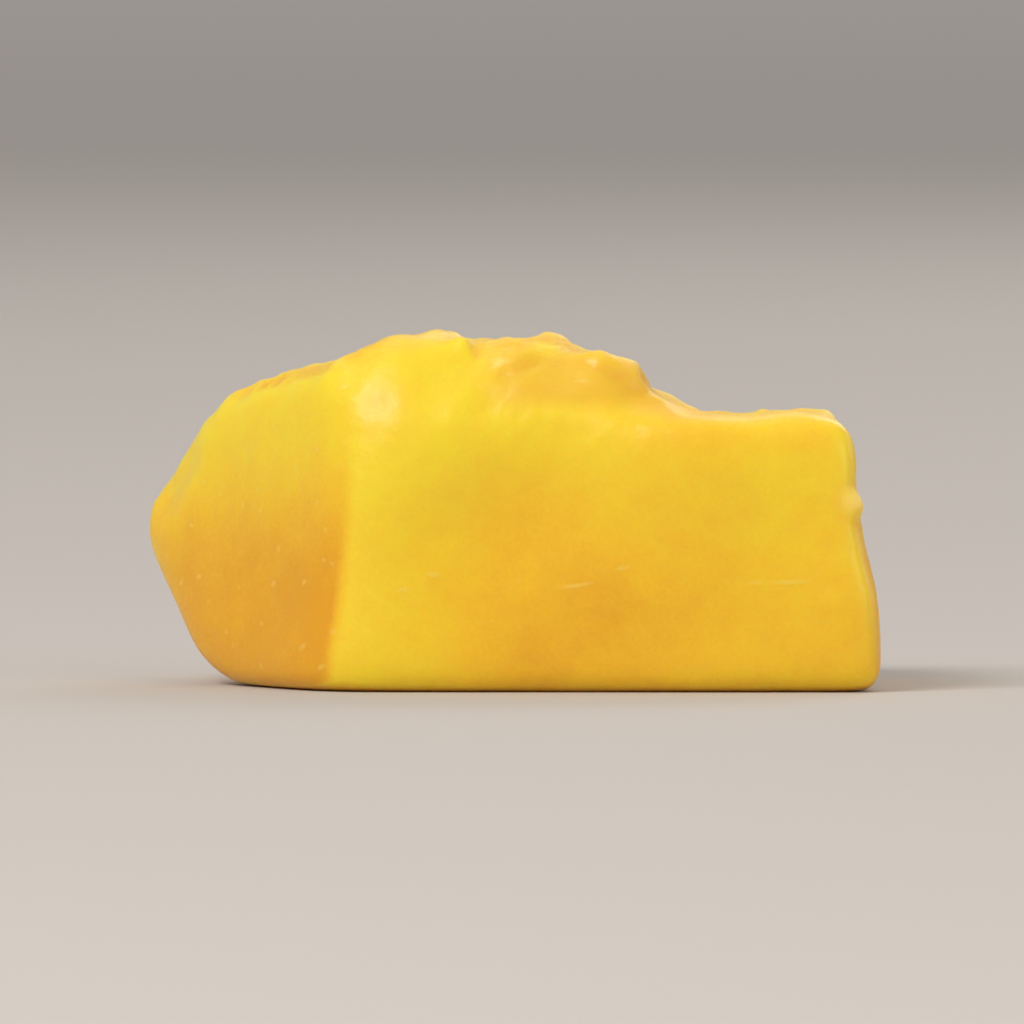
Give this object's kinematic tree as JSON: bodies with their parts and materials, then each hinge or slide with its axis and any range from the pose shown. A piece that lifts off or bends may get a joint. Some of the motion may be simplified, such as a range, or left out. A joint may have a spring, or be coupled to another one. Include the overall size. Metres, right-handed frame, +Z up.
{
  "type": "mango chunk",
  "caption": "Chunk of ripe mango flesh for a fruit cup: smooth knife-cut front, left and right, a flat base, a rough torn top with a hump, and a rounded pared back",
  "frame": {"origin": "middle of the flat cut base of the bounding box", "axes": "+X along the front knife cut towards the lower, squared end; -Y out of the front knife cut; +Z up, out of the rough side that was pulled off the stone"},
  "size_m": [0.0378, 0.0244, 0.0184],
  "materials": {
    "mango_flesh": "stands in for moist ripe mango flesh: golden yellow, soft, slightly see-through, with a wet sheen"
  },
  "bodies": {
    "root": {"mango_chunk": "mango_flesh"}
  },
  "joints": []
}
